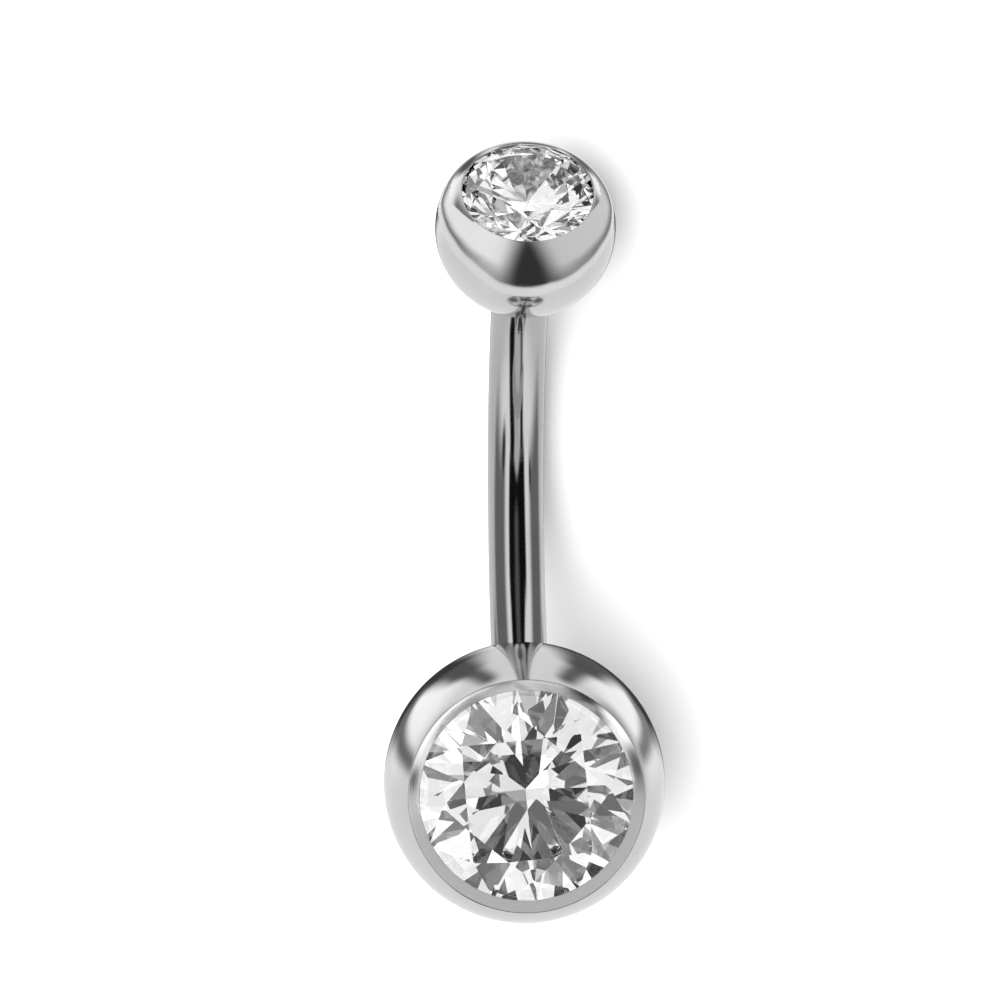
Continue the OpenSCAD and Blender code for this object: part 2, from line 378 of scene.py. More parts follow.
def screwThreadTree():
    # a tube along Z from 0 to Length with a thread cut into it, and a chamfer at the far end
    tree, given = newTree("screwThread", [
        ("Radius", "Float"), ("Length", "Float"), ("Pitch", "Float"), ("Depth", "Float"),
        ("Tip Chamfer", "Float"), ("Rows", "Int"), ("Material", "Material")])
    tube = addNode(tree, "GeometryNodeMeshCylinder", {
        "Vertices": bar["sides"], "Side Segments": given["Rows"], "Radius": given["Radius"],
        "Depth": given["Length"]}, fill_type="NONE")
    halfLength = addNode(tree, "ShaderNodeMath", {0: given["Length"], 1: 0.5}, operation="MULTIPLY")
    lift = addNode(tree, "ShaderNodeCombineXYZ", {"Z": halfLength})
    raised = addNode(tree, "GeometryNodeTransform", {"Geometry": tube, "Translation": lift})
    place = addNode(tree, "GeometryNodeInputPosition")
    spot = addNode(tree, "ShaderNodeSeparateXYZ", {"Vector": place}).outputs
    # how far round and along the helix a point is, as a fraction of one turn
    angle = addNode(tree, "ShaderNodeMath", {0: spot["Y"], 1: spot["X"]}, operation="ARCTAN2")
    turns = addNode(tree, "ShaderNodeMath", {0: angle, 1: 2 * pi}, operation="DIVIDE")
    rise = addNode(tree, "ShaderNodeMath", {0: spot["Z"], 1: given["Pitch"]}, operation="DIVIDE")
    helix = addNode(tree, "ShaderNodeMath", {0: rise, 1: turns}, operation="SUBTRACT")
    phase = addNode(tree, "ShaderNodeMath", {0: helix}, operation="FRACT")
    wave = addNode(tree, "ShaderNodeMath", {0: phase, 1: 0.5, 2: 1.0}, operation="PINGPONG")
    vee = addNode(tree, "ShaderNodeMath", {0: wave, 1: 2.0}, operation="MULTIPLY")
    groove = addNode(tree, "ShaderNodeMath", {
        0: vee, 1: thread["grooveFloor"], 2: thread["floorRounding"]}, operation="SMOOTH_MIN")
    toTip = addNode(tree, "ShaderNodeMath", {0: given["Length"], 1: spot["Z"]}, operation="SUBTRACT")
    fromEnd = addNode(tree, "ShaderNodeMath", {0: spot["Z"], 1: toTip}, operation="MINIMUM")
    fade = addNode(tree, "ShaderNodeMapRange", {
        "Value": fromEnd, "From Max": given["Pitch"]}, interpolation_type="SMOOTHSTEP")
    depth = addNode(tree, "ShaderNodeMath", {0: given["Depth"], 1: fade}, operation="MULTIPLY")
    sunk = addNode(tree, "ShaderNodeMath", {0: groove, 1: depth}, operation="MULTIPLY")
    pastChamfer = addNode(tree, "ShaderNodeMath", {0: given["Tip Chamfer"], 1: toTip}, operation="SUBTRACT")
    tip = addNode(tree, "ShaderNodeMath", {0: pastChamfer, 1: 0.0}, operation="MAXIMUM")
    inward = addNode(tree, "ShaderNodeMath", {0: sunk, 1: tip}, operation="ADD")
    outward = addNode(tree, "ShaderNodeMath", {0: inward, 1: -1.0}, operation="MULTIPLY")
    spoke = addNode(tree, "ShaderNodeCombineXYZ", {"X": spot["X"], "Y": spot["Y"]})
    spokeUnit = addNode(tree, "ShaderNodeVectorMath", {0: spoke}, operation="NORMALIZE")
    offset = addNode(tree, "ShaderNodeVectorMath", {0: spokeUnit, "Scale": outward}, operation="SCALE")
    moved = addNode(tree, "GeometryNodeSetPosition", {"Geometry": raised, "Offset": offset})
    marked = addNode(tree, "GeometryNodeStoreNamedAttribute", {
        "Geometry": moved, "Name": "alongProfile", "Value": spot["Z"]}, data_type="FLOAT", domain="POINT")
    closeTree(tree, marked, given["Material"])
    return tree


halfFacet = radians(22.5)  # half the angle between two of a brilliant's eight mains


def brilliantTree():
    # rings of facet corners, as (name, corners, turn); the hull round them is the whole cut
    rings = (("Table", 8, 0.0), ("Star", 8, halfFacet), ("Girdle Top", 16, 0.0), ("Girdle Foot", 16, 0.0),
             ("Half", 8, halfFacet))
    sizes = [(name + side, "Float") for name, *_ in rings for side in (" Radius", " Height")]
    tree, given = newTree("roundBrilliant", sizes + [("Culet Height", "Float"), ("Material", "Material")])
    joined = addNode(tree, "GeometryNodeJoinGeometry")
    for name, corners, start in rings:
        ring = addNode(tree, "GeometryNodeMeshCircle", {
            "Vertices": corners, "Radius": given[name + " Radius"]})
        rise = addNode(tree, "ShaderNodeCombineXYZ", {"Z": given[name + " Height"]})
        placed = addNode(tree, "GeometryNodeTransform", {
            "Geometry": ring, "Translation": rise, "Rotation": (0, 0, start)})
        tree.links.new(placed.outputs[0], joined.inputs[0])
    culetAt = addNode(tree, "ShaderNodeCombineXYZ", {"Z": given["Culet Height"]})
    culet = addNode(tree, "GeometryNodeMeshLine", {"Count": 1, "Start Location": culetAt})
    tree.links.new(culet.outputs[0], joined.inputs[0])
    hull = addNode(tree, "GeometryNodeConvexHull", {"Geometry": joined})
    closeTree(tree, hull, given["Material"])
    return tree


# The stones

cut = {
    "tableShare": 0.59,
    "crownAngle": radians(34.5),
    "pavilionAngle": radians(41),
    "starShare": 0.47,
    "lowerHalfShare": 0.77,
    "stoneTurn": radians(26.5),
    "flatWithin": radians(0.4),  # faces that differ by less are made one facet
}


def brilliantSizes(girdle):
    # radius and height of each ring of corners, for a stone of this girdle radius
    edge = cos(halfFacet)
    table = cut["tableShare"] * girdle
    star = table * edge + cut["starShare"] * (girdle - table * edge)
    half = (1 - cut["lowerHalfShare"]) * girdle
    thick = 2 * girdle * pocket["girdleShare"]
    crown, pavilion = tan(cut["crownAngle"]), tan(cut["pavilionAngle"])
    return {
        "Table Radius": table, "Table Height": (girdle - table) * crown,
        "Star Radius": star, "Star Height": (girdle - star * edge) * crown,
        "Girdle Top Radius": girdle, "Girdle Top Height": 0.0,
        "Girdle Foot Radius": girdle, "Girdle Foot Height": -thick,
        "Half Radius": half, "Half Height": -thick - (girdle - half * edge) * pavilion,
        "Culet Height": -thick - girdle * pavilion,
    }


def girdleTop(setting, lipHeight):
    # height at which the stone's girdle lies just under the lip
    under = pocket["underAngle"]
    overlap = setting["stoneRadius"] - setting["lipRadius"]
    return lipHeight - overlap * tan(under) - bar["gap"] / cos(under)


def makeStone(name, tree, setting, lipHeight, place):
    sizes = brilliantSizes(setting["stoneRadius"])
    mesh = growMesh(tree, name, {**sizes, "Material": stoneGlass})
    work = bmesh.new()
    work.from_mesh(mesh)
    bmesh.ops.dissolve_limit(work, angle_limit=cut["flatWithin"], verts=work.verts, edges=work.edges)
    bmesh.ops.recalc_face_normals(work, faces=work.faces)
    work.to_mesh(mesh)
    work.free()
    mesh.transform(place @ shift((0, 0, girdleTop(setting, lipHeight))) @ turn(cut["stoneTurn"], "Z"))
    mesh.shade_flat()
    stone = addObject(name, mesh)
    print(name, len(mesh.polygons), "facets")
    return stone


# Lathed balls

def arcPoints(centre, radius, start, end, steps):
    # points on an arc in the (radius, height) plane; angles are from the height axis
    angles = [start + (end - start) * i / steps for i in range(steps + 1)]
    return [(centre[0] + radius * sin(a), centre[1] + radius * cos(a)) for a in angles]


def lathe(name, points, sharp, material, place, satin=()):
    # points run from the axis back to the axis, as (radius, height); sharp holds the places of the
    # sharp corners and satin those of the points whose metal is not buffed and has a painted lighter tint
    verts, faces, along, loops, dull = [], [], [], [], []
    travelled = 0.0
    for i, (radius, height) in enumerate(points):
        if i:
            travelled += (Vector(points[i]) - Vector(points[i - 1])).length
        if radius < hair:
            loops.append([len(verts)] * ringSteps)
            verts.append((0, 0, height))
            along.append(travelled)
            continue
        loops.append(list(range(len(verts), len(verts) + ringSteps)))
        for k in range(ringSteps):
            angle = 2 * pi * k / ringSteps
            verts.append((radius * cos(angle), radius * sin(angle), height))
            along.append(travelled)
    for low, high in zip(loops, loops[1:]):
        for k in range(ringSteps):
            j = (k + 1) % ringSteps
            corners = [low[k], low[j], high[j], high[k]]
            faces.append(list(dict.fromkeys(corners)))
    mesh = bpy.data.meshes.new(name)
    mesh.from_pydata(verts, [], faces)
    for i, loop in enumerate(loops):
        dull += [float(i in satin)] * len(set(loop))
    mesh.attributes.new("alongProfile", "FLOAT", "POINT").data.foreach_set("value", along)
    mesh.attributes.new("satin", "FLOAT", "POINT").data.foreach_set("value", dull)
    mesh.shade_smooth()
    sharpRings = {tuple(sorted((loops[i][k], loops[i][(k + 1) % ringSteps])))
                  for i in sharp for k in range(ringSteps)}
    for edge in mesh.edges:
        edge.use_edge_sharp = tuple(sorted(edge.vertices)) in sharpRings
    mesh.materials.append(material)
    mesh.transform(place)
    return mesh


def pocketPoints(setting, lipHeight):
    # from under the lip to the pocket's floor
    gap = bar["gap"]
    seat = setting["stoneRadius"] + gap
    girdle = girdleTop(setting, lipHeight)
    under = lipHeight - (seat - setting["lipRadius"]) * tan(pocket["underAngle"])
    seatHeight = girdle - 2 * setting["stoneRadius"] * pocket["girdleShare"] - gap
    floor = seatHeight - (seat - pocket["floorRadius"]) * tan(pocket["sideAngle"])
    return [(seat, under), (seat, seatHeight), (pocket["floorRadius"], floor), (0, floor)]


def joinStretches(stretches):
    # the seam between two stretches of points is a sharp corner
    points, sharp = [], []
    for stretch in stretches:
        if points:
            sharp.append(len(points) - 1)
            stretch = stretch[1:]
        points += stretch
    return points, sharp


rims = {
    "edgeRadius": 0.018 * mm,
    "smallEdgeShare": 0.6,  # the small ball's rim is rounded less
    "lipEdge": 0.015 * mm,
    "stopShort": 1.1,  # edge radii between the large ball's last ring and its rim
    "roundSteps": 5,
    "sphereSteps": 150,
    "shoulderSteps": 60,
    "flatShare": 0.05,  # how near to its ends a flat stretch has its rings
    "sharpFrom": radians(25),  # edges that bend more are drawn sharp
}


def rounded(before, corner, after, radius):
    # arc that rounds one corner between two neighbours
    here, steps = Vector(corner), rims["roundSteps"]
    back = (Vector(before) - here).normalized()
    ahead = (Vector(after) - here).normalized()
    half = back.angle(ahead) / 2
    middle = here + (back + ahead).normalized() * radius / sin(half)
    first = (here + back * radius / tan(half) - middle).normalized()
    last = (here + ahead * radius / tan(half) - middle).normalized()
    return [tuple(middle + radius * first.slerp(last, k / steps)) for k in range(steps + 1)]


def straight(first, last):
    # a flat stretch with a ring close to each end, so that the shading stays flat between them
    first, last = Vector(first), Vector(last)
    return [tuple(first.lerp(last, t)) for t in (rims["flatShare"], 1 - rims["flatShare"])]


def makeLargeBall():
    size = largeSetting
    reach = size["ballRadius"]
    rimHeight = sqrt(reach ** 2 - size["rimRadius"] ** 2)
    lipHeight = rimHeight - (size["rimRadius"] - size["lipRadius"]) * tan(size["bevelAngle"])
    rim, lip = (size["rimRadius"], rimHeight), (size["lipRadius"], lipHeight)
    lastRing = atan2(*rim) + rims["edgeRadius"] * rims["stopShort"] / reach
    sphere = arcPoints((0, 0), reach, pi, lastRing, rims["sphereSteps"])
    inside = pocketPoints(size, lipHeight)
    nudge = 0.05  # along the ball's tangent at the rim; any small step gives the same edge
    tangent = (rim[0] + rim[1] * nudge, rim[1] - rim[0] * nudge)
    outerEdge = rounded(tangent, rim, lip, rims["edgeRadius"])
    innerEdge = rounded(rim, lip, inside[0], rims["lipEdge"])
    face = outerEdge + straight(outerEdge[-1], innerEdge[0]) + innerEdge
    points, sharp = joinStretches([
        sphere + face, [face[-1], inside[0]], inside[0:2], inside[1:3], inside[2:4]])
    points[0] = (0, -reach)
    # the rings between the two rounded edges are the bevel, which isn't buffed and has a painted lighter
    # tint
    satin = range(len(sphere) + len(outerEdge), len(sphere + face) - len(innerEdge))
    mesh = lathe("largeBall", points, sharp, ballMetal, Matrix.Identity(4), satin)
    return mesh, lipHeight


def boreCutter():
    # recess and bore for the bar's end, along +Z out of the ball
    seat = seatDistance(largeSetting["ballRadius"])
    gap, radius, post = bar["gap"], bar["radius"], bar["postRadius"]
    floor, step = seat - bar["tenonLength"] - gap, seat - gap
    outside = largeSetting["ballRadius"] + 1 * mm
    points = [(0, floor), (post + gap, floor), (post + gap, step), (radius + gap, step),
              (radius + gap, outside), (0, outside)]
    return lathe("boreCutter", points, [], ballMetal, turn(-largeSetting["stoneAngle"], "X"))


def cutBore(mesh):
    # takes the bar's recess and bore out of the large ball and keeps the ball's own smooth normals
    ball, cutter = addObject("largeBall", mesh), addObject("boreCutter", boreCutter())
    modifier = ball.modifiers.new("bore", "BOOLEAN")
    modifier.object = cutter
    modifier.operation = "DIFFERENCE"
    modifier.solver = "MANIFOLD"
    result = plainMesh(ball)
    bpy.data.objects.remove(cutter)
    ball.modifiers.clear()
    ball.data = result
    result.shade_smooth()
    work = bmesh.new()
    work.from_mesh(result)
    for edge in work.edges:
        edge.smooth = not (edge.is_manifold and edge.calc_face_angle() > rims["sharpFrom"])
    work.to_mesh(result)
    work.free()
    reach = largeSetting["ballRadius"]
    onBall = [abs(v.co.length - reach) < hair for v in result.vertices]
    normals = [tuple(n.vector) for n in result.corner_normals]
    for face in result.polygons:
        if all(onBall[v] for v in face.vertices):
            for loop in face.loop_indices:
                normals[loop] = tuple(result.vertices[result.loops[loop].vertex_index].co / reach)
    result.normals_split_custom_set(normals)
    result.transform(largeFrame)
    return ball


def makeSmallBall():
    size = smallSetting
    reach = size["ballRadius"]
    seat = seatDistance(reach)
    gap, post = bar["gap"], bar["postRadius"]
    rim = (size["rimRadius"], size["rimHeight"])
    lip = (size["lipRadius"], size["rimHeight"] - (size["rimRadius"] - size["lipRadius"]))
    # the shoulder is an arc that leaves the ball's round smoothly and ends at the rim
    leave = Vector((sin(size["shoulderAngle"]), cos(size["shoulderAngle"])))
    crest = Vector(rim)
    centreReach = (reach ** 2 - crest.dot(crest)) / (reach - crest.dot(leave)) / 2
    shoulderCentre, shoulderRadius = centreReach * leave, reach - centreReach
    crestAngle = atan2(*(crest - shoulderCentre))
    boreFloor, step = -seat + bar["postLength"] + gap, -seat + gap
    recess = bar["radius"] + gap
    mouth = (recess, -sqrt(reach ** 2 - recess ** 2))
    sphere = arcPoints((0, 0), reach, pi - asin(recess / reach), size["shoulderAngle"], rims["sphereSteps"])
    edge = rims["edgeRadius"]
    shoulder = arcPoints(shoulderCentre, shoulderRadius, size["shoulderAngle"],
                         crestAngle + edge / shoulderRadius, rims["shoulderSteps"])
    inside = pocketPoints(size, lip[1])
    face = (rounded(shoulder[-1], rim, lip, edge * rims["smallEdgeShare"])
            + rounded(rim, lip, inside[0], rims["lipEdge"]))
    points, sharp = joinStretches([
        [(0, boreFloor), (post + gap, boreFloor)],
        [(post + gap, boreFloor), (post + gap, step)],
        [(post + gap, step), (recess, step)],
        [(recess, step), mouth],
        [mouth] + sphere[1:] + shoulder[1:] + face,
        [face[-1], inside[0]], inside[0:2], inside[1:3], inside[2:4]])
    mesh = lathe("smallBall", points, sharp, ballMetal, smallFrame)
    return addObject("smallBall", mesh), lip[1]


largeMesh, largeLip = makeLargeBall()
largeBall = cutBore(largeMesh)
print("largeBall", len(largeBall.data.polygons), "faces")
smallBall, smallLip = makeSmallBall()
print("smallBall", len(smallBall.data.polygons), "faces")

stoneTree = brilliantTree()
largeStone = makeStone("largeStone", stoneTree, largeSetting, largeLip, largeFrame)
smallStone = makeStone("smallStone", stoneTree, smallSetting, smallLip, smallFrame)


# The bar

def openLoops(work):
    # boundary edges, in connected rings
    edges = {e for e in work.edges if e.is_boundary}
    rings = []
    while edges:
        ring, front = set(), [edges.pop()]
        while front:
            edge = front.pop()
            ring.add(edge)
            near = {e for v in edge.verts for e in v.link_edges if e in edges}
            edges -= near
            front += near
        rings.append(list(ring))
    return rings


def middleOf(ring):
    return sum((edge.verts[0].co for edge in ring), Vector()) / len(ring)


def makeBar(threadTree):
    # the rod with its two ends, welded ring to ring; the tenon is an end without a thread
    rod = growMesh(bentRodTree(), "bentRod", {
        "Bend Radius": bar["bendRadius"], "Sweep": bar["bendSweep"], "Rod Radius": bar["radius"],
        "Material": barShadedMetal})
    ends = (
        ("tenon", bar["tenonLength"], 0.0, largeEnd, turn(pi + halfSweep, "Z")),
        ("post", bar["postLength"], thread["depth"], smallEnd, turn(-halfSweep, "Z")),
    )
    work = bmesh.new()
    work.from_mesh(rod)
    for name, length, depth, place, heading in ends:
        end = growMesh(threadTree, name, {
            "Radius": bar["postRadius"], "Length": length, "Pitch": thread["pitch"], "Depth": depth,
            "Tip Chamfer": bar["tipChamfer"], "Rows": int(length / thread["pitch"] * thread["rowsPerTurn"]),
            "Material": barShadedMetal})
        end.transform(shift(place) @ heading @ turn(radians(90), "Y"))
        work.from_mesh(end)
    rings = openLoops(work)
    for place in (largeEnd, smallEnd):
        near = [ring for ring in rings if (middleOf(ring) - place).length < bar["weldWithin"]]
        bmesh.ops.bridge_loops(work, edges=near[0] + near[1])
    for ring in openLoops(work):
        bmesh.ops.contextual_create(work, geom=ring)
    bmesh.ops.recalc_face_normals(work, faces=work.faces)
    for face in work.faces:
        face.smooth = True
    for edge in work.edges:
        edge.smooth = edge.calc_face_angle(0) < bar["sharpFrom"]
    mesh = bpy.data.meshes.new("curvedBar")
    work.to_mesh(mesh)
    work.free()
    mesh.materials.append(barShadedMetal)
    mesh.transform(barFrame)
    return addObject("curvedBar", mesh)


curvedBar = makeBar(screwThreadTree())
print("curvedBar", len(curvedBar.data.polygons), "faces")

pieces = (
    (curvedBar, "curved_bar", "barbell", "bar_titanium"),
    (largeBall, "large_ball", "barbell", "ball_titanium"),
    (largeStone, "large_stone", "barbell", "cut_stone"),
    (smallBall, "small_ball", "screw_ball", "ball_titanium"),
    (smallStone, "small_stone", "screw_ball", "cut_stone"),
)
for piece, node, body, slot in pieces:
    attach(piece, body)
    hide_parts(node)


# Floor, world and light

floorCard = {
    "halfSize": 400 * mm,
    "grainSize": 2 * mm,
    "darkTint": "#F4F4F4",
    "paleTint": "#F7F7F7",
    "roughness": 0.8,
    "shine": 0.2,
}


def makeFloor():
    # Pressed white card, uncoated: matt, and slightly cloudy from its fibres
    half = floorCard["halfSize"]
    corners = [(-half, -half, 0), (half, -half, 0), (half, half, 0), (-half, half, 0)]
    mesh = bpy.data.meshes.new("floor")
    mesh.from_pydata(corners, [], [(0, 1, 2, 3)])
    material, tree, shader = newMaterial("mattWhiteCard")
    place = addNode(tree, "ShaderNodeTexCoord").outputs["Object"]
    grain = addNode(tree, "ShaderNodeTexNoise", {
        "Vector": place, "Scale": 1 / floorCard["grainSize"], "Detail": 4.0})
    tone = addNode(tree, "ShaderNodeMix", {
        0: grain, 6: linear(floorCard["darkTint"]), 7: linear(floorCard["paleTint"])}, data_type="RGBA")
    tree.links.new(tone.outputs[2], shader.inputs["Base Color"])
    shader.inputs["Roughness"].default_value = floorCard["roughness"]
    shader.inputs["Specular IOR Level"].default_value = floorCard["shine"]
    mesh.materials.append(material)
    floor = addObject("floor", mesh)
    floor.visible_glossy = False


# The white light tent round the jewel, with dark cards that give polished metal its contrast.
# Angles are in degrees: fromAxis from the camera's axis, round anticlockwise from the picture's
# right, across and up from the camera's axis; soft is half the width of a blurred edge. A row lies
# over the rows before it, the cards over the glows and the strips over both.
tent = {
    "light": 1.35,
    "glowColumns": ("fromAxis", "round", "radius", "soft", "light"),  # round patches
    "glows": [(180, 0, 92, 16, 0.93), (128, 146, 22, 12, 1.35), (128, 32, 22, 12, 1.35)],
    "cardColumns": ("across", "up", "halfWidth", "halfHeight", "softSide", "softEnd", "light"),
    "cards": [
        (87, 8, 26, 36, 10, 10, 0.24),
        (-74, 8, 27, 36, 9, 10, 0.24),
        (0, 64, 70, 24, 20, 8, 0.62),
        (12, 43, 48, 11, 7, 4, 0.02),
        (5, -14, 35, 25, 4, 7, 0.008),
        (1, 22, 18, 19, 5, 6, 0.05),
    ],
    "stripColumns": ("fromAxis", "round", "toFromAxis", "toRound", "halfWidth", "soft", "light"),
    "strips": [
        (40, -84, 92, -97, 10, 3, 0.79),
        (27, 0, 34, 74, 11, 4, 0.008),
        (20, 175, 37, 117, 9, 4, 0.008),
        (12, -80, 34, 90, 7, 6, 0.15),
        (44, -109, 90, -111.4, 7.8, 3, 0.008),
        (48, -61, 68, -75, 5.5, 3, 0.02),
        (68, -75, 88, -84, 4, 3, 0.15),
        (104, 110, 128, 120, 5, 4, 0.15),
        (128, 120, 152, 128, 8, 5, 0.12),
        (152, 128, 169, 147, 6, 4, 0.05),
        (169, 147, 150, 156, 6, 4, 0.05),
        (150, 156, 111, 171, 5, 4, 0.2),
        (107, 67, 135, 60, 5, 4, 0.15),
        (135, 60, 171, 45, 8, 5, 0.12),
        (171, 45, 170, 32, 6, 4, 0.05),
        (170, 32, 148, 24, 6, 4, 0.05),
        (148, 24, 120, 13, 5, 4, 0.3),
        (63, -147, 63, -145, 7, 4, 0.06),  # this one and the next are the bevel's two dark marks
        (67, -24.5, 67, -23, 4, 3, 0.03),
    ],
    "floorLight": 1.7,  # what the matt floor gets
    "sparkleSize": 0.5,  # of the patches that the stones' facets pick up, in radians
    "sparkleShift": 81.5,  # another value gives another pattern
    # as (start, light); a patch's own random number picks its step
    "sparkleSteps": ((0.0, 1.05), (0.5, 0.18), (0.7, 0.5), (0.8, 1.0), (0.9, 0.05), (0.96, 0.0)),
}


def directionOf(fromAxis, around):
    # a direction at an angle from the camera's axis, turned anticlockwise from the picture's right
    flat = cos(around) * viewRight + sin(around) * viewUp
    return sin(fromAxis) * flat + cos(fromAxis) * viewBack


def paintPatch(tree, light, level, edges):
    # lays a patch of one level over the light; each edge is a node that gives the angle from the
    # patch's middle in radians, then the patch's half width and half the blur's width in degrees
    mask = 1.0
    for away, half, soft in edges:
        inside = addNode(tree, "ShaderNodeMapRange", {
            "Value": away, "From Min": radians(half - soft), "From Max": radians(half + soft),
            "To Min": 1.0, "To Max": 0.0}, interpolation_type="SMOOTHSTEP")
        mask = addNode(tree, "ShaderNodeMath", {0: inside, 1: mask}, operation="MULTIPLY")
    return addNode(tree, "ShaderNodeMix", {0: mask, 2: light, 3: float(level)})


def apartFrom(tree, angle, middle):
    # how far an angle is from a middle that is given in degrees
    offset = addNode(tree, "ShaderNodeMath", {0: angle, 1: radians(middle)}, operation="SUBTRACT")
    return addNode(tree, "ShaderNodeMath", {0: offset}, operation="ABSOLUTE")


def makeWorld():
    world = bpy.data.worlds.new("lightTent")
    bpy.context.scene.world = world
    world.use_nodes = True
    tree = world.node_tree
    tree.nodes.clear()
    heading = addNode(tree, "ShaderNodeTexCoord").outputs["Generated"]
    x, y, z = (addNode(tree, "ShaderNodeVectorMath", {0: heading, 1: tuple(axis)}, operation="DOT_PRODUCT")
               for axis in (viewRight, viewUp, viewBack))
    across = addNode(tree, "ShaderNodeMath", {0: x, 1: z}, operation="ARCTAN2")
    up = addNode(tree, "ShaderNodeMath", {0: y}, operation="ARCSINE")
    light = tent["light"]
    for row in tent["glows"]:
        glow = dict(zip(tent["glowColumns"], row))
        middle = directionOf(radians(glow["fromAxis"]), radians(glow["round"]))
        apart = addNode(tree, "ShaderNodeVectorMath", {0: heading, 1: tuple(middle)},
                        operation="DOT_PRODUCT")
        away = addNode(tree, "ShaderNodeMath", {0: apart}, operation="ARCCOSINE")
        light = paintPatch(tree, light, glow["light"], [(away, glow["radius"], glow["soft"])])
    for row in tent["cards"]:
        card = dict(zip(tent["cardColumns"], row))
        light = paintPatch(tree, light, card["light"], [
            (apartFrom(tree, across, card["across"]), card["halfWidth"], card["softSide"]),
            (apartFrom(tree, up, card["up"]), card["halfHeight"], card["softEnd"])])
    for row in tent["strips"]:
        # a straight strip from one direction to another; the distance from it stands for the angle
        strip = dict(zip(tent["stripColumns"], row))
        start = directionOf(radians(strip["fromAxis"]), radians(strip["round"]))
        reach = directionOf(radians(strip["toFromAxis"]), radians(strip["toRound"])) - start
        offset = addNode(tree, "ShaderNodeVectorMath", {0: heading, 1: tuple(start)}, operation="SUBTRACT")
        along = addNode(tree, "ShaderNodeVectorMath", {0: offset, 1: tuple(reach / reach.length_squared)},
                        operation="DOT_PRODUCT")
        share = addNode(tree, "ShaderNodeClamp", {"Value": along.outputs["Value"]})
        step = addNode(tree, "ShaderNodeVectorMath", {0: tuple(reach), "Scale": share}, operation="SCALE")
        point = addNode(tree, "ShaderNodeVectorMath", {0: step, 1: tuple(start)}, operation="ADD")
        unit = addNode(tree, "ShaderNodeVectorMath", {0: point}, operation="NORMALIZE")
        away = addNode(tree, "ShaderNodeVectorMath", {0: unit, 1: heading}, operation="DISTANCE")
        light = paintPatch(tree, light, strip["light"], [
            (away.outputs["Value"], strip["halfWidth"], strip["soft"])])
    # through the stones the tent shows broken up, white with grey and a few black patches
    moved = addNode(tree, "ShaderNodeVectorMath", {0: heading, 1: (tent["sparkleShift"], 0, 0)},
                    operation="ADD")
    cells = addNode(tree, "ShaderNodeTexVoronoi", {"Vector": moved, "Scale": 1 / tent["sparkleSize"]})
    pick = addNode(tree, "ShaderNodeSeparateColor", {"Color": cells.outputs["Color"]})
    steps = addNode(tree, "ShaderNodeValToRGB", {"Fac": pick})
    steps.color_ramp.interpolation = "CONSTANT"
    while len(steps.color_ramp.elements) < len(tent["sparkleSteps"]):
        steps.color_ramp.elements.new(1.0)
    for element, (start, level) in zip(steps.color_ramp.elements, tent["sparkleSteps"]):
        element.position = start
        element.color = (level, level, level, 1)
    path = addNode(tree, "ShaderNodeLightPath").outputs
    seenInMetal, seenInStone, seenByFloor = (
        addNode(tree, "ShaderNodeBackground", {"Strength": level, "Color": linear("#FFFFFF")})
        for level in (light, steps, tent["floorLight"]))
    shine = addNode(tree, "ShaderNodeMixShader", {
        0: path["Is Transmission Ray"], 1: seenInMetal, 2: seenInStone})
    shine = addNode(tree, "ShaderNodeMixShader", {0: path["Is Diffuse Ray"], 1: shine, 2: seenByFloor})
    addNode(tree, "ShaderNodeOutputWorld", {"Surface": shine})
    world.cycles.sampling_method = "NONE"


# A white card bent to a bowl round the lower front of the small ball, seen only in mirror images,
# with a dark patch in its middle and a grey edge. Angles are in degrees, as in the tent.
ballCard = {
    "reach": 3 * mm,  # from the ball's surface
    # where its grey edge runs, as (round, fromAxis)
    "edge": (
        (-199, 150), (-187, 126), (-170, 103), (-147, 86), (-130, 82), (-115, 85),
        (-90, 84), (-66, 85), (-34, 98), (-13, 115), (0, 134), (17, 155),
    ),
    "beyondEdge": 18,  # how far the card goes on outside that edge
    "fade": 28,  # over which the edge's grey turns to the card's light, inwards
    "outerFade": 5,  # and outwards
    "light": ((-120, 1.2), (-60, 0.88)),  # as (round, light), like the next
    "edgeLight": ((-170, 0.22), (-140, 0.6), (-105, 0.6), (-80, 0.42), (-40, 0.42), (0, 0.25)),
    "outerLight": 1.06,  # of the card outside its grey edge
    # places along the picture's right and up, from -1 to 1 round the camera's axis: a height, then
    # where each side of the patch is at that height and how fast it moves outwards below it
    "patchHeight": 0.19,
    "patchSides": ((-0.11, 0.24), (0.23, 0.27)),
    "patches": ((0.5, 0.62), (0.26, 0.045)),  # as (blur, light); the second lies in the first
    "top": 24,  # the card ends this far above the ball's middle
    "rows": 116,
    "rowStep": 1.5,
    "columns": 120,
    "firstColumn": -210,
}


def smooth(value, low, high):
    # 0 below low and 1 above high, with a soft rise between them
    t = min(max((value - low) / (high - low), 0), 1)
    return t * t * (3 - 2 * t)


def between(points, place):
    # the value at a place on a line through points of (place, value)
    for (start, low), (end, high) in zip(points, points[1:]):
        if start <= place <= end:
            return low + (high - low) * (place - start) / (end - start)
    return points[0][1] if place < points[0][0] else points[-1][1]


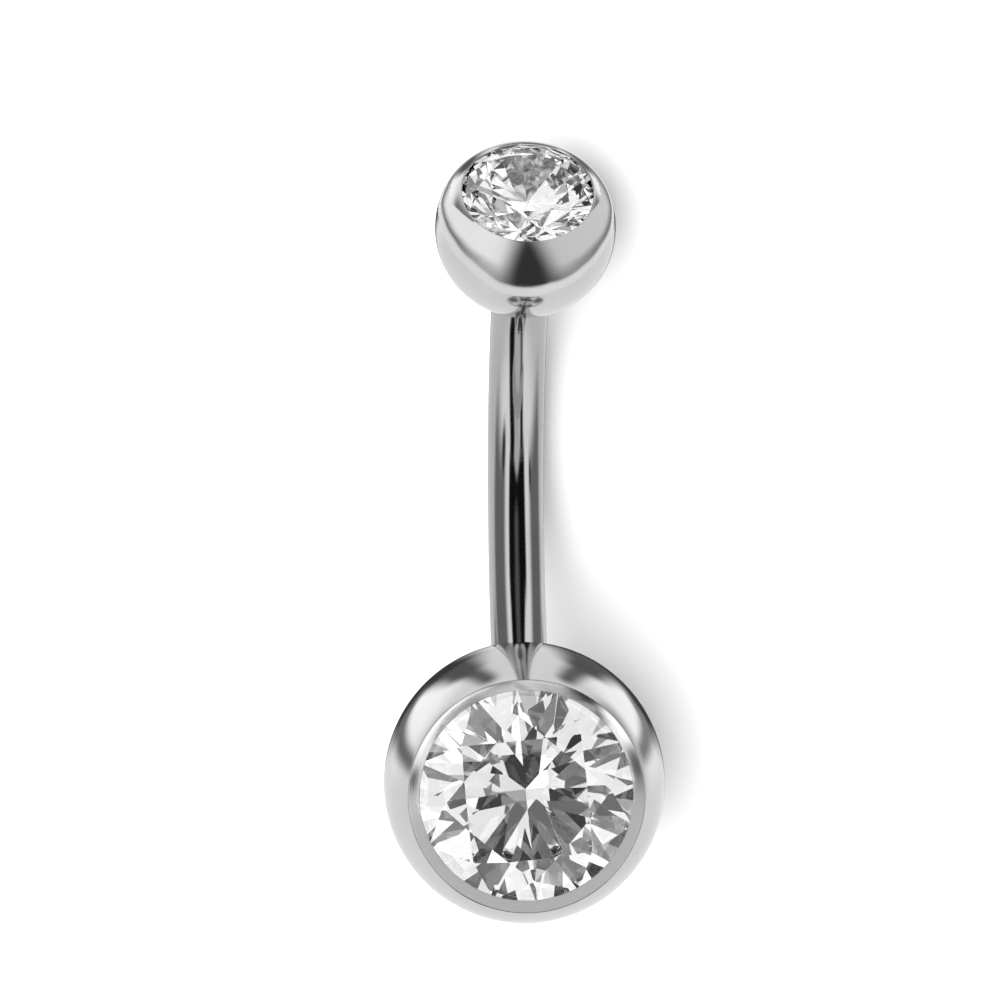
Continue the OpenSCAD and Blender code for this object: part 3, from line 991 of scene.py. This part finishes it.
def bowlLight(fromAxis, around):
    # how bright the small ball's card is in one direction
    inside = between(ballCard["edge"], around) - fromAxis
    edgeLight = between(ballCard["edgeLight"], around)
    if inside < 0:
        return edgeLight + (ballCard["outerLight"] - edgeLight) * smooth(-inside, 0, ballCard["outerFade"])
    light = between(ballCard["light"], around)
    light = edgeLight + (light - edgeLight) * smooth(inside, 0, ballCard["fade"])
    x = sin(radians(fromAxis)) * cos(radians(around))
    drop = ballCard["patchHeight"] - sin(radians(fromAxis)) * sin(radians(around))
    (left, leftSlope), (right, rightSlope) = ballCard["patchSides"]
    left -= leftSlope * drop
    right += rightSlope * drop
    for soft, level in ballCard["patches"]:
        mask = smooth(x, left - soft, left + soft) * (1 - smooth(x, right - soft, right + soft))
        light += (min(level, light) - light) * mask
    return light


def makeNearCard(name, verts, faces, lights):
    # a card that shines on its front only, and that only mirror rays see
    mesh = bpy.data.meshes.new(name)
    mesh.from_pydata(verts, [], faces)
    mesh.attributes.new("light", "FLOAT", "POINT").data.foreach_set("value", lights)
    material, tree, shader = newMaterial(name + "Paper")
    tree.nodes.remove(shader)
    light = addNode(tree, "ShaderNodeAttribute", attribute_name="light").outputs["Fac"]
    front = addNode(tree, "ShaderNodeEmission", {"Strength": light})
    back = addNode(tree, "ShaderNodeBsdfTransparent")
    side = addNode(tree, "ShaderNodeNewGeometry").outputs["Backfacing"]
    seen = addNode(tree, "ShaderNodeMixShader", {0: side, 1: front, 2: back})
    tree.links.new(seen.outputs[0], tree.nodes["Material Output"].inputs["Surface"])
    mesh.materials.append(material)
    card = addObject(name, mesh)
    for ray in ("camera", "diffuse", "transmission", "volume_scatter", "shadow"):
        setattr(card, "visible_" + ray, False)


def makeBallCard():
    # each point lies on the camera's ray that the ball mirrors in that direction
    centre, columns = smallFrame.translation, ballCard["columns"]
    verts, faces, lights = [], [], []
    for i in range(ballCard["rows"]):
        for j in range(columns):
            fromAxis, around = ballCard["rowStep"] * i, ballCard["firstColumn"] + 360 * j / columns
            away = directionOf(radians(fromAxis), radians(around))
            facing = (away + viewBack).normalized()
            verts.append(centre + facing * smallSetting["ballRadius"] + away * ballCard["reach"])
            lights.append(bowlLight(fromAxis, around))
            cardEnd = between(ballCard["edge"], around) + ballCard["beyondEdge"]
            if i and fromAxis < cardEnd and asin(away.dot(viewUp)) < radians(ballCard["top"]):
                k = (j + 1) % columns
                inner, outer = (i - 1) * columns, i * columns
                faces.append((inner + j, inner + k, outer + k, outer + j))
    makeNearCard("ballCard", verts, faces, lights)


# A grey card bent round the upper front of the large ball, seen only in mirror images: it gives the
# lower half of the bevel its grey. Its points are (round, fromAxis) in degrees; fromAxis is the middle
# of its width from the stone's axis, and round is anticlockwise from the picture's right.
bevelCard = {
    "reach": 7.2 * mm,  # from the ball's middle
    "halfWidth": 13,
    "step": 2,  # the longest that a face may be round the axis
    "light": 0.54,
    "points": ((-17, 31), (5, 27), (40, 21), (84, 17), (131, 18), (172, 23), (208, 31)),
}


def makeBevelCard():
    axis = (largeFrame.to_3x3() @ Vector((0, 0, 1))).normalized()
    right = (viewRight - viewRight.dot(axis) * axis).normalized()
    up = axis.cross(right)
    start, end = bevelCard["points"][0][0], bevelCard["points"][-1][0]
    spans = ceil((end - start) / bevelCard["step"])
    verts, faces = [], []
    for k in range(spans + 1):
        around = start + (end - start) * k / spans
        outward = cos(radians(around)) * right + sin(radians(around)) * up
        for side in (-1, 1):
            fromAxis = radians(between(bevelCard["points"], around) + side * bevelCard["halfWidth"])
            away = cos(fromAxis) * axis + sin(fromAxis) * outward
            verts.append(largeAtRest + bevelCard["reach"] * away)
        if k:
            faces.append((2 * k - 2, 2 * k, 2 * k + 1, 2 * k - 1))
    makeNearCard("bevelCard", verts, faces, [bevelCard["light"]] * len(verts))


# A large softbox over the jewel, unseen in the metal
lamp = {"power": 0.2, "size": 300 * mm, "place": Vector((-150, -50, 450)) * mm}


def makeLamp():
    data = bpy.data.lights.new("softbox", "AREA")
    data.energy = lamp["power"]
    data.size = lamp["size"]
    softbox = addObject("softbox", data)
    aim = -lamp["place"]  # at the jewel, which lies round the origin
    softbox.matrix_world = shift(lamp["place"]) @ aim.to_track_quat("-Z", "Y").to_matrix().to_4x4()
    softbox.visible_glossy = False


makeFloor()
makeWorld()
makeBallCard()
makeBevelCard()
makeLamp()
bpy.context.scene.view_settings.view_transform = "Standard"
# light crosses many facets before it leaves a stone
bpy.context.scene.cycles.max_bounces = 24
bpy.context.scene.cycles.glossy_bounces = 10
bpy.context.scene.cycles.transmission_bounces = 16
print("stage set")
